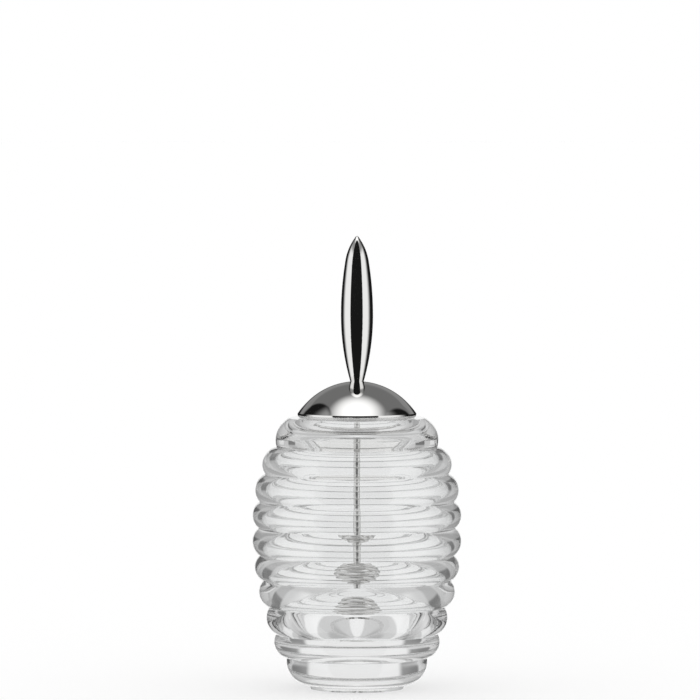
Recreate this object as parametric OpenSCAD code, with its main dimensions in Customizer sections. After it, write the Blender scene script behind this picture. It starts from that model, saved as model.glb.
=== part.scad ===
// Honey pot: a beehive-ribbed glass jar with a lift-off metal lid that carries a
// wire honey dipper on a rod. Millimetres, Z up, jar axis on Z, table at Z = 0,
// the lid standing shut on the jar.

/* [Jar] */
// Height of the glass jar, table to rim plane
jar_h = 119.5; // [100:0.5:150]
// Height of the widest place of the hollow, where the belly bulges most
belly_z = 72.5; // [55:0.5:85]
// Radius of the hollow at the belly
hollow_r = 42.2; // [36:0.1:43]
// Radius of the long arc that shapes the wall of the hollow from top to bottom
barrel_r = 69.8; // [60:0.1:90]
// Height of the floor of the hollow above the table (thickness of the solid foot)
floor_z = 21; // [14:0.5:26]
// Radius of the mouth
mouth_r = 23.6; // [23:0.1:26]
// Height of the straight mouth wall under the rim
mouth_h = 5.5; // [4:0.5:9]
// Bevel on the inner edge of the rim
rim_bevel = 0.6; // [0.3:0.1:1]
// Radius of the arch pressed up into the underside of the foot
arch_r = 15.5; // [12:0.5:18]
// Depth of that arch
arch_h = 1.6; // [0.8:0.1:3]

/* [Ribs] */
// How far each crest stands outside the long arc of the hollow, top rib first
rib_out = [4.54, 4.93, 4.45, 4.01, 4.29, 5.55, 7.78, 11.18, 17.42]; // [3:0.01:20]
// Height of each crest, top rib first
rib_z = [109.7, 99.0, 87.6, 76.5, 65.1, 53.8, 42.7, 31.4, 20.7]; // [10:0.1:115]
// Radius of each rib's rounding, top rib first
rib_round = [11.1, 7.7, 8.0, 7.6, 8.3, 6.9, 7.4, 8.6, 7.3]; // [5:0.1:12]
// How far the crest of the foot ring lies inside the crest of the lowest rib
foot_in = 5.5; // [4:0.1:8]
// Height of the crest of the foot ring
foot_z = 12; // [9:0.1:13]
// Radius of the foot ring's rounding
foot_round = 10.5; // [9:0.1:11.5]

/* [Lid] */
// Height of the dome's top above the rim plane
dome_h = 16.3; // [13:0.1:20]
// How far the dome's arc, drawn on down to the middle of the roll, would pass outside it
dome_over = 0.35; // [0.1:0.05:0.6]
// Thickness of the sheet that dome and pan are pressed from
sheet_t = 0.8; // [0.6:0.1:1.2]
// Radius of the roll of the dome's edge
roll_r = 1.65; // [1.4:0.05:2]
// Width of the slit that the rolled edge leaves on its inner side
roll_slit = 1.0; // [0.9:0.1:1.2]
// Room between the mouth and the pan wall that stands in it
pan_room = 1.5; // [1.2:0.1:3]
// Room between the mouth and the step of that wall, which keeps the lid centred
step_room = 0.6; // [0.4:0.1:1]
// Depth of the pan below the rim plane
pan_drop = 4.3; // [3:0.1:6]
// Radius of the pan's bottom edge
pan_round = 1; // [0.9:0.1:2]
// Depth of the step in the pan wall below the rim plane
step_drop = 1.2; // [1:0.1:2]
// Room between the top of the pan and the rolled edge that holds it
grip_room = 0.05; // [0.03:0.01:0.1]

/* [Handle] */
// Radius at its thickest
handle_r = 7.12; // [6:0.01:9]
// Height of the thickest place above the foot of the handle
handle_mid = 29; // [24:0.5:36]
// Radius of the foot that stands on the dome
handle_foot_r = 3; // [2.6:0.1:4]
// Radius of the arc of the upper flank
flank_r = 150; // [120:1:200]
// Height above the foot where the flank turns in to the tip
nose_from = 53; // [40:0.5:60]
// Radius of the arc that draws it in
nose_r = 24; // [20:1:30]
// Radius of the blunt tip
nib_r = 0.8; // [0.6:0.1:1.5]
// Depth of the blind hole in the foot for the rod
socket_h = 13; // [9:0.5:20]

/* [Dipper] */
// Diameter of the rod
rod_d = 3; // [2.6:0.1:4]
// Room around the rod in every hole it goes through
rod_room = 0.05; // [0.03:0.01:0.15]
// How far the rod goes up into the handle
rod_bite = 12; // [8:0.5:18]
// Room between the coil's lowest point and the floor of the hollow, lid shut
tip_room = 3.5; // [2:0.5:8]
// Diameter of the coil wire
wire_d = 2.7; // [2.2:0.1:3.2]
// Rise of the coil in one turn, measured between wire centres
coil_pitch = 4.05; // [3.6:0.05:4.8]
// Turns from the left of the bottom loop up to the end of the wire at the rod
coil_turns = 7.4; // [6:0.1:8]
// Part of a turn that the bottom tail runs on below that
coil_tail = 0.36; // [0:0.01:0.5]
// Radius of the bottom loop, to the wire centre
coil_low_r = 6.4; // [5:0.1:8]
// Radius of the widest loop, to the wire centre
coil_wide_r = 9.75; // [8:0.05:11]
// Turn at which the coil is widest
coil_wide_at = 3.6; // [3:0.1:5]
// Room between the rod and the loop that hugs it
hug_room = 0.12; // [0.05:0.01:0.2]
// Height of the bead of solder round the foot of the rod
bead_h = 1.3; // [0.8:0.1:2]
// How far that bead stands out from the rod
bead_w = 0.6; // [0.3:0.1:1]

/* [Fastening inside the lid] */
// Outside radius of the washer
washer_r = 4.5; // [4:0.1:6]
// Thickness of the washer
washer_t = 0.8; // [0.5:0.1:1.2]
// Width of the nut across its flats
nut_w = 5.5; // [5.5:0.5:7]
// Height of the nut
nut_h = 2.4; // [2:0.1:3.5]

/* [Hidden] */

far = 200;
rod_r = rod_d / 2;
hole_r = rod_r + rod_room;
wire_r = wire_d / 2;

// the hollow's wall is one long arc; bowl and shoulder touch it without a crease
barrel_in = hollow_r - barrel_r;
bowl_drop = belly_z - floor_z;
bowl_r = (barrel_r * barrel_r - barrel_in * barrel_in - bowl_drop * bowl_drop)
         / (2 * (barrel_r - bowl_drop));
bowl_z = floor_z + bowl_r;
bowl_turn = atan2(belly_z - bowl_z, -barrel_in);
bowl_join = belly_z - barrel_r * sin(bowl_turn);
neck_z = jar_h - mouth_h;
neck_r = mouth_r + 1;
neck_rise = neck_z - belly_z;
neck_in = neck_r - barrel_in;
neck_round = (barrel_r * barrel_r - neck_in * neck_in - neck_rise * neck_rise)
             / (2 * (barrel_r - neck_rise));
neck_turn = atan2(neck_rise - neck_round, neck_in);
neck_join = belly_z + barrel_r * sin(neck_turn);

// crests of the ribs and the foot ring, and the core of the glass behind them
function arc_r(z) = barrel_in + sqrt(barrel_r * barrel_r - (z - belly_z) * (z - belly_z));
rib_crest = [for (i = [0 : len(rib_z) - 1]) arc_r(rib_z[i]) + rib_out[i]];
foot_crest = rib_crest[len(rib_z) - 1] - foot_in;
core_r = [for (i = [0 : len(rib_z) - 1]) rib_crest[i] - rib_round[i] * 0.75];

// lid levels, from the rim plane upward
seat_z = jar_h;
pan_r = mouth_r - pan_room;
step_r = mouth_r - step_room;
roll_x = step_r + grip_room + roll_r;
roll_z = seat_z + roll_r;
edge_r = roll_x + roll_r;
arc_run = edge_r + dome_over;
arc_rise = dome_h - roll_r;
dome_r = (arc_run * arc_run + arc_rise * arc_rise) / (2 * arc_rise);
dome_c = seat_z + dome_h - dome_r;
dome_in_r = dome_r - sheet_t;
foot_drop = dome_r - sqrt(dome_r * dome_r - handle_foot_r * handle_foot_r);
handle_z = seat_z + dome_h - foot_drop;
washer_top = dome_c + sqrt(dome_in_r * dome_in_r - washer_r * washer_r) - 0.02;
nut_top = washer_top - washer_t;

// handle arcs, each touching the next without a crease: foot, flank, nose, tip
low_run = handle_mid;
low_sag = handle_r - handle_foot_r;
low_r = (low_run * low_run + low_sag * low_sag) / (2 * low_sag);
flank_in = handle_r - flank_r;
nose_turn = asin((nose_from - handle_mid) / flank_r);
nose_in = flank_in + (flank_r - nose_r) * cos(nose_turn);
nose_z = nose_from - nose_r * sin(nose_turn);
nib_turn = acos(-nose_in / (nose_r - nib_r));
nib_z = nose_z + (nose_r - nib_r) * sin(nib_turn);
nib_from = nose_z + nose_r * sin(nib_turn);
handle_h = nib_z + nib_r;

// coil: height and radius of the wire centre after s turns from the bottom left
// (the loops lie flatter at both ends, and the top one closes round the rod)
function rise(s) = coil_pitch * (s + 0.54 * pow(max(0, 0.3 - s), 2)
                                 - 0.072 * pow(max(0, s - 4.5), 2));
tip_z = floor_z + tip_room;
coil_z0 = tip_z + wire_r - rise(-coil_tail);
function coil_z(s) = coil_z0 + rise(s);
coil_top_r = rod_r + wire_r + hug_room;
coil_top_at = coil_turns - 0.45;
function swell(s) = pow(max(0, coil_wide_at - s) / coil_wide_at, 1.4);
function draw_in(s) = pow(min(1, max(0, s - coil_wide_at) / (coil_top_at - coil_wide_at)), 1.7);
function coil_r(s) = coil_wide_r - (coil_wide_r - coil_low_r) * swell(s)
                     - (coil_wide_r - coil_top_r) * draw_in(s);
function coil_at(s) = [coil_r(s) * cos(180 + 360 * s), coil_r(s) * sin(180 + 360 * s), coil_z(s)];

rings_per_turn = 24;
wire_sides = 8;
ring_n = round((coil_turns + coil_tail) * rings_per_turn);
step = (coil_turns + coil_tail) / ring_n;
ring_s = [for (i = [0 : ring_n]) i * step - coil_tail];
ring_c = [for (s = ring_s) coil_at(s)];
coil_end_z = coil_z(coil_turns) + wire_r;
rod_low_z = coil_z(coil_turns) - 1.4 * wire_d;
rod_high_z = handle_z + rod_bite;

// least room between loops, wire surface to wire surface
half = rings_per_turn / 2;
coil_gap = min([for (i = [0 : ring_n - half]) for (j = [i + half : ring_n])
                norm(ring_c[i] - ring_c[j])]) - wire_d;
echo(coil_gap = coil_gap);
echo(coil_top = coil_end_z, rod_bottom = rod_low_z, washer_top = washer_top);
echo(bowl = bowl_r, bowl_join = bowl_join, neck_round = neck_round, neck_join = neck_join);
echo(crests = rib_crest, foot = foot_crest);
echo(handle = handle_h, top = handle_z + handle_h);

// a rectangle of a profile, from radius and height to radius and height
module block(x0, z0, x1, z1) {
    translate([x0, z0]) square([x1 - x0, z1 - z0]);
}

module disc(x, z, r) {
    translate([x, z]) circle(r = r, $fn = r > 20 ? 720 : 96);
}

// what the jar would be if it were solid: nine ribs and a foot ring on a core
module jar_outline() {
    difference() {
        union() {
            polygon(concat([[0, 0], [foot_crest - foot_round, 0]],
                           [for (i = [len(rib_z) - 1 : -1 : 0]) [core_r[i], rib_z[i]]],
                           [[rib_crest[0] - rib_round[0], jar_h + 1], [0, jar_h + 1]]));
            for (i = [0 : len(rib_z) - 1]) disc(rib_crest[i] - rib_round[i], rib_z[i], rib_round[i]);
            disc(foot_crest - foot_round, foot_z, foot_round);
        }
        block(-far, -far, 0, far);
        block(-1, -far, far, 0);
        block(-1, jar_h, far, far);
    }
}

// the hollow: bowl, long barrel wall, shoulder under the rim, mouth
module jar_hollow() {
    difference() {
        union() {
            intersection() {
                disc(0, bowl_z, bowl_r);
                block(0, 0, far, bowl_join);
            }
            intersection() {
                disc(barrel_in, belly_z, barrel_r);
                block(-1, bowl_join, far, neck_join);
            }
            intersection() {
                union() {
                    disc(neck_r, neck_z - neck_round, neck_round);
                    block(-1, neck_join - 1, neck_r, neck_z);
                }
                block(-1, neck_join, far, neck_z);
            }
            block(-1, neck_z - 1, mouth_r, jar_h + 1);
            polygon([[0, jar_h - rim_bevel], [mouth_r, jar_h - rim_bevel],
                     [mouth_r + 2 * rim_bevel, jar_h + rim_bevel], [0, jar_h + rim_bevel]]);
        }
        block(-far, -far, 0, far);
    }
}

module jar() {
    color([0.86, 0.90, 0.90, 0.35])
    rotate_extrude($fn = 128)
    difference() {
        jar_outline();
        jar_hollow();
        polygon([[-1, -1], [arch_r + 1, -1], [arch_r, 0], [arch_r - 2, arch_h], [-1, arch_h]]);
    }
}

// section of the pressed cap: a thin arc that ends in a roll open to the inside
module dome_section() {
    difference() {
        intersection() {
            disc(0, dome_c, dome_r);
            block(hole_r, roll_z, edge_r, handle_z);
        }
        disc(0, dome_c, dome_in_r);
    }
    difference() {
        disc(roll_x, roll_z, roll_r);
        disc(roll_x, roll_z, roll_r - sheet_t);
        block(roll_x - 2 * roll_r, roll_z - roll_slit / 2, roll_x, roll_z + roll_slit / 2);
    }
}

module lid_dome() {
    color([0.80, 0.81, 0.82])
    rotate_extrude($fn = 128) dome_section();
}

// a cup whose wall steps out just under the rim plane and ends inside the rolled edge
module lid_pan() {
    pan_low = seat_z - pan_drop;
    step_low = seat_z - step_drop;
    pan_top = roll_z + sheet_t / 2;
    color([0.78, 0.79, 0.80])
    rotate_extrude($fn = 128)
    difference() {
        union() {
            block(hole_r, pan_low, pan_r - pan_round, pan_low + sheet_t);
            intersection() {
                disc(pan_r - pan_round, pan_low + pan_round, pan_round);
                block(pan_r - pan_round, pan_low, pan_r, pan_low + pan_round);
            }
            block(pan_r - sheet_t, pan_low + pan_round, pan_r, step_low + sheet_t);
            block(pan_r - sheet_t, step_low, step_r, step_low + sheet_t);
            block(step_r - sheet_t, step_low, step_r, pan_top);
        }
        intersection() {
            disc(pan_r - pan_round, pan_low + pan_round, pan_round - sheet_t);
            block(pan_r - pan_round, pan_low, pan_r, pan_low + pan_round);
        }
    }
}

// the stretch of an arc's disc between two heights, axis side kept
module stretch(x, z, r, z0, z1) {
    intersection() {
        disc(x, z, r);
        block(0, z0, handle_r + 1, z1);
    }
}

module handle_section() {
    stretch(handle_r - low_r, handle_mid, low_r, 0, handle_mid);
    stretch(flank_in, handle_mid, flank_r, handle_mid, nose_from);
    stretch(nose_in, nose_z, nose_r, nose_from, nib_from);
    stretch(0, nib_z, nib_r, nib_from, handle_h + 1);
}

module handle() {
    color([0.80, 0.81, 0.82])
    translate([0, 0, handle_z])
    rotate_extrude($fn = 96)
    difference() {
        handle_section();
        block(-1, -1, hole_r, socket_h);
    }
}

// the straight rod, with the bead of solder where it stands on the coil
module dipper_rod() {
    color([0.80, 0.81, 0.82])
    union() {
        translate([0, 0, rod_low_z]) cylinder(r = rod_r, h = rod_high_z - rod_low_z, $fn = 64);
        translate([0, 0, coil_end_z])
        cylinder(r1 = rod_r + bead_w, r2 = rod_r, h = bead_h, $fn = 64);
    }
}

// the wire: one tube of rings round a formula curve, closed by a flat cut at each end
module dipper_coil() {
    pts = [for (i = [0 : ring_n])
        let (s = ring_s[i],
             ahead = coil_at(s + 0.002) - coil_at(s - 0.002),
             t = ahead / norm(ahead),
             out = [cos(180 + 360 * s), sin(180 + 360 * s), 0],
             side = out - t * (out * t),
             u = side / norm(side),
             v = cross(t, u))
        for (k = [0 : wire_sides - 1])
            ring_c[i] + wire_r * (u * cos(360 * k / wire_sides) + v * sin(360 * k / wire_sides))];
    walls = [for (i = [0 : ring_n - 1]) for (k = [0 : wire_sides - 1])
        let (a = i * wire_sides + k, b = i * wire_sides + (k + 1) % wire_sides)
        for (f = [[a, a + wire_sides, b + wire_sides], [a, b + wire_sides, b]]) f];
    low_cap = [for (k = [1 : wire_sides - 2]) [0, k, k + 1]];
    top0 = ring_n * wire_sides;
    top_cap = [for (k = [1 : wire_sides - 2]) [top0, top0 + k + 1, top0 + k]];
    color([0.80, 0.81, 0.82])
    polyhedron(points = pts, faces = concat(walls, low_cap, top_cap), convexity = 10);
}

// washer and nut that pull the handle down on the dome
module lock_washer() {
    color([0.70, 0.71, 0.72])
    translate([0, 0, nut_top])
    difference() {
        cylinder(r = washer_r, h = washer_t, $fn = 64);
        translate([0, 0, -1]) cylinder(r = hole_r, h = washer_t + 2, $fn = 64);
    }
}

module lock_nut() {
    color([0.70, 0.71, 0.72])
    translate([0, 0, nut_top - nut_h])
    difference() {
        cylinder(r = nut_w / sqrt(3), h = nut_h, $fn = 6);
        translate([0, 0, -1]) cylinder(r = hole_r, h = nut_h + 2, $fn = 64);
    }
}

jar();
lid_dome();
lid_pan();
handle();
dipper_rod();
dipper_coil();
lock_washer();
lock_nut();
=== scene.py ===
# %% [markdown]
# A honey pot: a clear glass jar shaped like a beehive, and a polished steel lid that
# lifts off with a wire dipper under it. The shapes could be built again in Blender, but
# then there would be two sets of sizes to keep alike. The solids already have every real
# shape and size, so this script loads them as they are and gives them their look. Pressed
# glass and mirror-polished steel look like nothing but the room that they stand in, so
# most of the work goes into the room.

# %% The frame
import bpy
import math
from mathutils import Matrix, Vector


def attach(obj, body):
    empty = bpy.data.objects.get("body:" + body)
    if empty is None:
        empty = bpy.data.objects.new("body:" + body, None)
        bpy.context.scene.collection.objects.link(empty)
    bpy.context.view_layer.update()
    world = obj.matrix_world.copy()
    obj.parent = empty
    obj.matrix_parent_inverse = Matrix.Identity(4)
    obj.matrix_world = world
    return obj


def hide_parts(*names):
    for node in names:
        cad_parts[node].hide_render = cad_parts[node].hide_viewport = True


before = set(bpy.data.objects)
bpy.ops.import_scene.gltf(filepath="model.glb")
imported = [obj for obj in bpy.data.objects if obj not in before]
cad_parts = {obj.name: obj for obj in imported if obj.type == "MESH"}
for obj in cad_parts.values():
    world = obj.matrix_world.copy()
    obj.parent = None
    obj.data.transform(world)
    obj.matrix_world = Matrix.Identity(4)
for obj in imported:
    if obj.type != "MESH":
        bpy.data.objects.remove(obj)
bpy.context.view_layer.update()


# %% [markdown]
# A shader is a graph of nodes. It could be wired in the script link by link, but then
# nobody can read the sums in it. Here one small class wraps a number that a node puts
# out, and lends it the signs of arithmetic, so that 1 - mask adds the right Math nodes by
# itself. Two more words are needed for a room that is drawn with light: a step, which
# rises softly from 0 to 1 between two readings, and a band, which is 1 between two edges.

# %% Numbers in a shader
class Value:
    """A number that a node puts out, used like a number in Python."""

    def __init__(self, tree, socket):
        self.tree = tree
        self.socket = socket

    def math(self, operation, *others):
        terms = dict(enumerate((self, *others)))
        return self.tree.value(self.tree.node("Math", {"operation": operation}, terms))

    def __add__(self, other):
        return self.math("ADD", other)

    def __mul__(self, other):
        return self.math("MULTIPLY", other)

    def __sub__(self, other):
        return self.math("SUBTRACT", other)

    def __rsub__(self, other):
        return self * -1.0 + other

    __radd__ = __add__
    __rmul__ = __mul__

    def step(self, start, end):
        """0 before start, 1 past end, and a soft ramp between. Start may be the larger."""
        inputs = {"Value": self, "From Min": start, "From Max": end}
        ramp = self.tree.node("MapRange", {"interpolation_type": "SMOOTHSTEP"}, inputs)
        return self.tree.value(ramp, "Result")

    def band(self, low_edge, high_edge, soft):
        """1 between the two edges and 0 outside them, each edge twice soft wide."""
        return self.step(low_edge - soft, low_edge + soft) * self.step(high_edge + soft, high_edge - soft)


# %% [markdown]
# The second class is the graph itself. Its one method adds any node from its type, its
# settings and what goes into its sockets, which may be a number, a colour, a Value or
# another node. One method for all nodes keeps every material below down to a few lines.

# %% A graph of nodes
class Tree:
    """The nodes of a material or of the world, emptied first."""

    def __init__(self, owner):
        owner.use_nodes = True
        self.graph = owner.node_tree
        self.graph.nodes.clear()

    def node(self, kind, settings=None, sockets=None):
        """Sockets go by their name, or by their number where names repeat."""
        made = self.graph.nodes.new("ShaderNode" + kind)
        for key, item in (settings or {}).items():
            setattr(made, key, item)
        for key, item in (sockets or {}).items():
            if isinstance(item, Value):
                self.graph.links.new(item.socket, made.inputs[key])
            elif isinstance(item, bpy.types.Node):
                self.graph.links.new(item.outputs[0], made.inputs[key])
            else:
                made.inputs[key].default_value = item
        return made

    def value(self, made, output=0):
        return Value(self, made.outputs[output])


# %% [markdown]
# The room. A mirror shows whatever it faces, so polished steel needs a dark side to look
# like metal and not like white paper. The room is what a table-top photographer builds:
# the dark of the studio behind the camera, a tall white soft box on each side, a strip of
# dark between each box and the white backdrop, and a soft light overhead. It could be
# built from lamps and panels. Drawing it by direction needs none of them, and each edge
# goes where the photograph's steel shows it with one number. "Turn" is the angle away
# from the camera's side, "rise" the angle above the horizon, and "arc" the angle over the
# top from front to back, all in degrees.

# %% Directions in the room
DEGREES = 180 / math.pi
world = bpy.data.worlds.new("studio")
bpy.context.scene.world = world
room = Tree(world)
direction = room.value(room.node("TexCoord"), "Generated")
heading = room.node("SeparateXYZ", sockets={"Vector": direction})
east, north, up = (room.value(heading, axis) for axis in "XYZ")
turn = east.math("ARCTAN2", north * -1.0).math("ABSOLUTE") * DEGREES
rise = up.math("ARCSINE") * DEGREES
arc = up.math("ARCTAN2", north * -1.0) * DEGREES
print("nodes for the directions:", len(room.graph.nodes))

# %% [markdown]
# The soft boxes draw the two bright stripes down the handle. They are bright beside the
# camera and fade toward the back, as a box does when its lamp sits in its front half.
# The right box stands a little nearer to the camera, because the photograph's two
# stripes aren't quite alike. Each pair of numbers says where a step starts and ends.

# %% The soft boxes
BOX_SHIFT = 5.0
BOX_FRONT_EDGE = (43, 47)
BOX_FADE = (117, 83)
BOX_FOOT = (-54, -44)
LOWER_LIGHT, LOWER_TOP = 0.65, (40, 26)
UPPER_LIGHT, UPPER_TOP = 0.30, (60, 52)
skewed = turn + BOX_SHIFT * east
box_light = LOWER_LIGHT * rise.step(*LOWER_TOP) + UPPER_LIGHT * rise.step(*UPPER_TOP)
side_box = box_light * rise.step(*BOX_FOOT) * skewed.step(*BOX_FRONT_EDGE) * skewed.step(*BOX_FADE)
print("soft boxes from turn", BOX_FRONT_EDGE[0], "to", BOX_FADE[0])

# %% [markdown]
# The light overhead gives the dome its white brow. It leans toward the camera and is
# brightest in its middle. The studio's dark front ends in a sharp edge where this light
# begins, so the dome has a crisp dark patch and not a smear. Behind the light the ceiling
# is grey, which makes the slow change from the brow to the crown.

# %% The light overhead and the ceiling
LAMP_LIGHT = 1.12
LAMP_LEAN = math.radians(18)
LAMP_GLOW = (0.74, 1.0)
FRONT_END = (63, 66)
CEILING_LIGHT, CEILING_GAIN = 0.16, 0.12
CEILING_BACK = (140, 165)
CEILING_SIDE, CEILING_TILT = (0.60, 0.55), 0.08
CEILING_FOOT = (12, 18)
toward_lamp = up * math.cos(LAMP_LEAN) - north * math.sin(LAMP_LEAN)
lamp = LAMP_LIGHT * toward_lamp.step(*LAMP_GLOW) * arc.step(*FRONT_END)
sideways = east.math("ABSOLUTE") - CEILING_TILT * east
ceiling = (CEILING_LIGHT + CEILING_GAIN * arc.step(*CEILING_BACK)) * sideways.step(*CEILING_SIDE)
ceiling = ceiling * arc.step(*FRONT_END) * rise.step(*CEILING_FOOT)
print("light overhead leans", round(LAMP_LEAN * DEGREES), "degrees to the camera")

# %% [markdown]
# The strip of dark beside the white backdrop draws the thin dark outline round polished
# steel. Without it a chrome edge melts into a white page. A grey piece of wall shows over
# the backdrop, and a trace of light everywhere keeps the darks from being a flat black.

# %% The room in polished steel
WALL_LIGHT, WALL_EDGE = 0.24, (137, 145)
WALL_LOW, WALL_HIGH, WALL_SOFT = 15, 31, 2
BACKDROP_EDGE, BACKDROP_TOP = (164, 168), (12, 8)
TRACE = 0.01
far_wall = WALL_LIGHT * turn.step(*WALL_EDGE) * rise.band(WALL_LOW, WALL_HIGH, WALL_SOFT)
backdrop = turn.step(*BACKDROP_EDGE) * rise.step(*BACKDROP_TOP)
in_steel = (lamp + ceiling).math("MAXIMUM", side_box).math("MAXIMUM", far_wall)
in_steel = in_steel.math("MAXIMUM", backdrop) + TRACE
print("nodes for the steel's room:", len(room.graph.nodes))

# %% [markdown]
# What is seen through the glass. Thin walls bend the room only a little and show the
# white backdrop. The round ribs near the jar's edge turn the look aside, to the strip
# beside the backdrop and to the side walls, and the thick foot reaches round to the dark
# front. One room for both would be simpler, but its dark front would spread over the ribs. A
# photographer may light the glass by itself for that reason, and join the two pictures.

# %% The room through the glass
GLASS_LIGHT = 0.86
BESIDE_LOSS, BESIDE = 0.08, (172, 120)
WALL_LOSS, WALL_TURN, WALL_RISE, WALL_TOP = 0.20, (110, 60), (-12, 12), (60, 46)
STRIP_LOSS, STRIP_TURN = 0.55, (124, 149, 3)
STRIP_ALL, STRIP_MIDDLE, STRIP_RISE = 0.35, 0.65, (-20, 9, 3)
FRONT_LOSS, FRONT_TURN, FRONT_RISE = 0.42, (46, 34), (-20, 46, 5)
side_wall = turn.step(*WALL_TURN) * rise.step(*WALL_RISE) * rise.step(*WALL_TOP)
dim_strip = skewed.band(*STRIP_TURN) * (STRIP_ALL + STRIP_MIDDLE * rise.band(*STRIP_RISE))
dark_front = turn.step(*FRONT_TURN) * rise.band(*FRONT_RISE)
in_glass = GLASS_LIGHT - BESIDE_LOSS * turn.step(*BESIDE) - WALL_LOSS * side_wall
in_glass = in_glass - STRIP_LOSS * dim_strip - FRONT_LOSS * dark_front
print("glass shows", GLASS_LIGHT, "of white where nothing dims it")

# %% [markdown]
# The world chooses among its lights by the kind of ray that asks. A ray from the camera
# gets plain white, and so does one that lights the floor. A ray that a mirror sent out
# gets the steel's room, and one that has been through the glass gets the glass's room.
# Light that was also reflected inside the jar, from a rib or from the dipper, gets a
# share of the steel's room, which keeps some dark in the shut-in steel.

# %% The world
HALFWAY = (0.4, 0.6)
REFLECTED_SHARE = 0.25
paths = room.node("LightPath")
glossy_ray = room.value(paths, "Is Glossy Ray")
through_glass = room.value(paths, "Transmission Depth").step(*HALFWAY)
reflected = REFLECTED_SHARE * room.value(paths, "Glossy Depth").step(*HALFWAY)
inside = (1.0 - reflected) * in_glass + reflected * in_steel
outside = glossy_ray * in_steel + (1.0 - glossy_ray)
level = through_glass * inside + (1.0 - through_glass) * outside
lit = room.node("Background", sockets={"Color": (1, 1, 1, 1), "Strength": level})
room.node("OutputWorld", sockets={"Surface": lit})
print("nodes in the room:", len(room.graph.nodes))


# %% [markdown]
# The floor is a plain sheet of white paper that keeps the pot's soft shadow. It has no
# shine, so it sends back just the white that falls on it and needs no extra light. In
# the steel and the glass the paper would cover the lower half of the room, so for their
# rays it is clear. The sheet is far wider than the picture, so that its end never shows.

# %% The floor
FLOOR_HALF = 60.0


def flat_sheet(name, half):
    mesh = bpy.data.meshes.new(name)
    corners = [(-half, -half, 0), (half, -half, 0), (half, half, 0), (-half, half, 0)]
    mesh.from_pydata(corners, [], [(0, 1, 2, 3)])
    sheet = bpy.data.objects.new(name, mesh)
    bpy.context.collection.objects.link(sheet)
    return sheet


def white_paper(name):
    made = bpy.data.materials.new(name)
    look = Tree(made)
    path = look.node("LightPath")
    mirrored = look.value(path, "Is Glossy Ray").math("MAXIMUM", look.value(path, "Is Transmission Ray"))
    plain = {"Base Color": (1, 1, 1, 1), "Roughness": 1.0, "Specular IOR Level": 0.0}
    paper = look.node("BsdfPrincipled", sockets=plain)
    clear = look.node("BsdfTransparent")
    mixed = look.node("MixShader", sockets={0: mirrored, 1: paper, 2: clear})
    look.node("OutputMaterial", sockets={"Surface": mixed})
    return made


floor = flat_sheet("floor", FLOOR_HALF)
floor.data.materials.append(white_paper("pale_paper"))
print("floor", 2 * FLOOR_HALF, "m wide")


# %% [markdown]
# Mirror-polished stainless steel is on the dome, the pan, the handle and the dipper. It is
# a metal with almost no roughness and a very slightly warm grey. A picture of a chrome
# reflection could be painted on instead, but it would stand still when the view changes.
# The washer and the nut inside the lid are plain, duller and darker.

# %% Steel
def steel(name, colour, roughness):
    made = bpy.data.materials.new(name)
    look = Tree(made)
    metal = {"Base Color": (*colour, 1), "Metallic": 1.0, "Roughness": roughness}
    look.node("OutputMaterial", sockets={"Surface": look.node("BsdfPrincipled", sockets=metal)})
    return made


polished = steel("polished_steel", (0.86, 0.855, 0.845), 0.03)
plain_steel = steel("plain_steel", (0.62, 0.62, 0.62), 0.3)
print("steels:", polished.name, plain_steel.name)


# %% [markdown]
# The jar is clear pressed glass, which lets light through to what stands behind it. Two
# things go wrong with plain glass in a renderer. Its lamp rays go in straight lines, so
# the floor under the pot would be black. And a ray that is caught between the ribs is
# dropped after a few reflections, which leaves black specks where real glass is bright.
# For both kinds of ray the glass counts as a clear film that takes a little of the light.
# More reflections would cure the specks as well, but that is not this script's to set.

# %% Clear glass
GLASS_IOR = 1.52
GLASS_TINT = (0.99, 0.995, 0.995, 1)
FILM_TINT = (0.93, 0.93, 0.93, 1)
CAUGHT = (2.4, 2.6)


def clear_glass(name):
    made = bpy.data.materials.new(name)
    look = Tree(made)
    path = look.node("LightPath")
    lamp_ray = look.value(path, "Is Shadow Ray").math("MAXIMUM", look.value(path, "Is Diffuse Ray"))
    caught = look.value(path, "Glossy Depth").step(*CAUGHT)
    solid = {"Base Color": GLASS_TINT, "Roughness": 0.0, "IOR": GLASS_IOR, "Transmission Weight": 1.0}
    body = look.node("BsdfPrincipled", sockets=solid)
    film = look.node("BsdfTransparent", sockets={"Color": FILM_TINT})
    mixed = look.node("MixShader", sockets={0: lamp_ray.math("MAXIMUM", caught), 1: body, 2: film})
    look.node("OutputMaterial", sockets={"Surface": mixed})
    return made


glass = clear_glass("clear_glass")
print("glass:", glass.name, "with a refractive index of", GLASS_IOR)

# %% [markdown]
# The dipper is one wire wound into a barrel, which holds honey between its loops. In the
# solids it is a tube of flat facets, enough for its weight and its touch. A polished
# wire is judged by the unbroken line of light along it, so here the same wire is swept
# again along the same curve, with a round section and smooth shading. Blender's own
# screw tool winds an even spring, but not one that swells and closes. The curve is a
# formula of the number of turns: its radius swells from the bottom loop to the belly and
# closes round the rod at the top, and its climb eases at both ends.

# %% The wire's curve
WIRE = 0.00135
ROD, ROD_GAP = 0.0015, 0.00012
PITCH = 0.00405
TURNS, TAIL = 7.4, 0.36
LOW_LOOP, WIDE_LOOP, TOP_LOOP = 0.0064, 0.00975, ROD + WIRE + ROD_GAP
WIDE_AT, TOP_AT = 3.6, TURNS - 0.45
SWELL_POWER, CLOSE_POWER = 1.4, 1.7
EASE_LOW, EASE_LOW_UNTIL = 0.54, 0.3
EASE_HIGH, EASE_HIGH_FROM = 0.072, 4.5
TIP = 0.0245
START_ANGLE = 180


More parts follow.
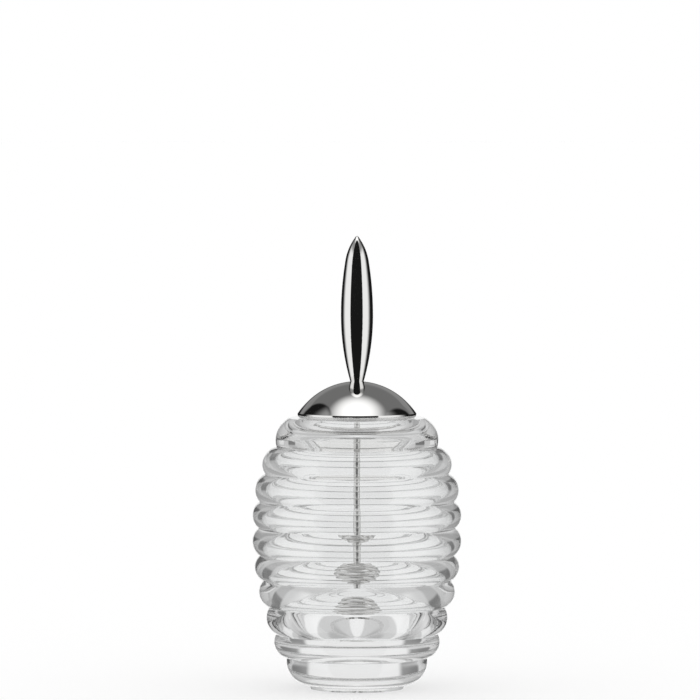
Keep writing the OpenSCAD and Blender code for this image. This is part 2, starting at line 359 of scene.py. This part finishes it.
def climb(s):
    low_ease = EASE_LOW * max(0, EASE_LOW_UNTIL - s) ** 2
    high_ease = EASE_HIGH * max(0, s - EASE_HIGH_FROM) ** 2
    return PITCH * (s + low_ease - high_ease)


def loop_radius(s):
    swell = (max(0, WIDE_AT - s) / WIDE_AT) ** SWELL_POWER
    closing = min(1, max(0, s - WIDE_AT) / (TOP_AT - WIDE_AT)) ** CLOSE_POWER
    return WIDE_LOOP - (WIDE_LOOP - LOW_LOOP) * swell - (WIDE_LOOP - TOP_LOOP) * closing


def away_from_rod(s):
    angle = math.radians(START_ANGLE + 360 * s)
    return Vector((math.cos(angle), math.sin(angle), 0))


def wire_centre(s):
    height = TIP + WIRE - climb(-TAIL) + climb(s)
    return loop_radius(s) * away_from_rod(s) + Vector((0, 0, height))


ends = [round(1000 * wire_centre(s).z, 1) for s in (-TAIL, TURNS)]
print("wire ends in mm above the table:", ends)

# %% [markdown]
# The tube is built ring by ring. Each ring stands square to the curve, so that the wire
# keeps its thickness where it climbs. A cutter and the polishing wheel leave a small
# bevel at both ends, and two narrower rings make it.

# %% The wire
RINGS_PER_TURN, SIDES = 64, 20
END_RADIUS, BEVEL_RADIUS, BEVEL_LENGTH = 0.86 * WIRE, 0.96 * WIRE, 0.1 * WIRE
NEARBY = 0.001


def wire_ring(centre, along, outward, radius):
    side = (outward - along * outward.dot(along)).normalized()
    over = along.cross(side)
    angles = [2 * math.pi * k / SIDES for k in range(SIDES)]
    return [centre + radius * (side * math.cos(a) + over * math.sin(a)) for a in angles]


def wire_verts():
    count = round((TURNS + TAIL) * RINGS_PER_TURN)
    verts = []
    for i in range(count + 1):
        s = -TAIL + (TURNS + TAIL) * i / count
        along = (wire_centre(s + NEARBY) - wire_centre(s - NEARBY)).normalized()
        centre, outward = wire_centre(s), away_from_rod(s)
        bevel = BEVEL_LENGTH * along
        if i == 0:
            verts += wire_ring(centre, along, outward, END_RADIUS)
            verts += wire_ring(centre + bevel, along, outward, BEVEL_RADIUS)
        elif i == count:
            verts += wire_ring(centre - bevel, along, outward, BEVEL_RADIUS)
            verts += wire_ring(centre, along, outward, END_RADIUS)
        else:
            verts += wire_ring(centre, along, outward, WIRE)
    return verts


def wire_faces(rings):
    faces = []
    for i in range(rings - 1):
        for k in range(SIDES):
            a, b = i * SIDES + k, i * SIDES + (k + 1) % SIDES
            faces.append((a, a + SIDES, b + SIDES, b))
    faces.append(tuple(range(SIDES)))
    faces.append(tuple(reversed(range((rings - 1) * SIDES, rings * SIDES))))
    return faces


def wound_wire(name):
    verts = wire_verts()
    mesh = bpy.data.meshes.new(name)
    mesh.from_pydata(verts, [], wire_faces(len(verts) // SIDES))
    mesh.update()
    mesh.shade_smooth()
    for cut_end in mesh.polygons[-2:]:
        cut_end.use_smooth = False
    made = bpy.data.objects.new(name, mesh)
    bpy.context.collection.objects.link(made)
    print(name, "rings", len(verts) // SIDES, "faces", len(mesh.polygons))
    return made


# %% [markdown]
# The wire is fixed to the rod, so it rides with the lid, and it takes the place of the
# faceted one.

# %% The wire on the lid
wire = wound_wire("dipper_wire")
wire.data.materials.append(polished)
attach(wire, "lid")
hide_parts("dipper_coil")
print("the wire rides the lid")

# %% [markdown]
# Each solid takes one finish. The jar is glass, the washer and the nut are plain, and all
# the rest is polished. A list of the exceptions is shorter than a line for every piece.

# %% Finishes on the solids
finish = {"jar": glass, "lock_washer": plain_steel, "lock_nut": plain_steel}
for name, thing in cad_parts.items():
    thing.data.materials.clear()
    thing.data.materials.append(finish.get(name, polished))
    print(name, "faces", len(thing.data.polygons))


# %% [markdown]
# The camera stands about where the photograph's stood. How open the jar's round edges
# look gave how far it looks down. The scale, in metres to a pixel at the pot, is a choice
# that makes the closed pot 200 mm tall, because no size is known. A long lens, far away,
# bends the shapes as little as the photograph does, and the focal length in pixels gives
# the lens and the distance together.

# %% The camera
PICTURE = 700
SCALE = 0.00044
FOCAL_PIXELS = 5420
FILM = 36
DISTANCE = FOCAL_PIXELS * SCALE
EYE_HEIGHT = 0.2506
LOOK_DOWN = 2.43
POT_OFF_MIDDLE = 7
cam = bpy.data.cameras.new("camera")
cam.sensor_width = FILM
cam.lens = FOCAL_PIXELS / PICTURE * FILM
cam.clip_end = 200
eye = bpy.data.objects.new("camera", cam)
bpy.context.collection.objects.link(eye)
eye.location = (-POT_OFF_MIDDLE * SCALE, -DISTANCE, EYE_HEIGHT)
eye.rotation_euler = (math.radians(90 - LOOK_DOWN), 0, 0)
bpy.context.scene.camera = eye
bpy.context.scene.view_settings.view_transform = "Standard"
print("camera", round(DISTANCE, 3), "m away, lens", round(cam.lens), "mm")
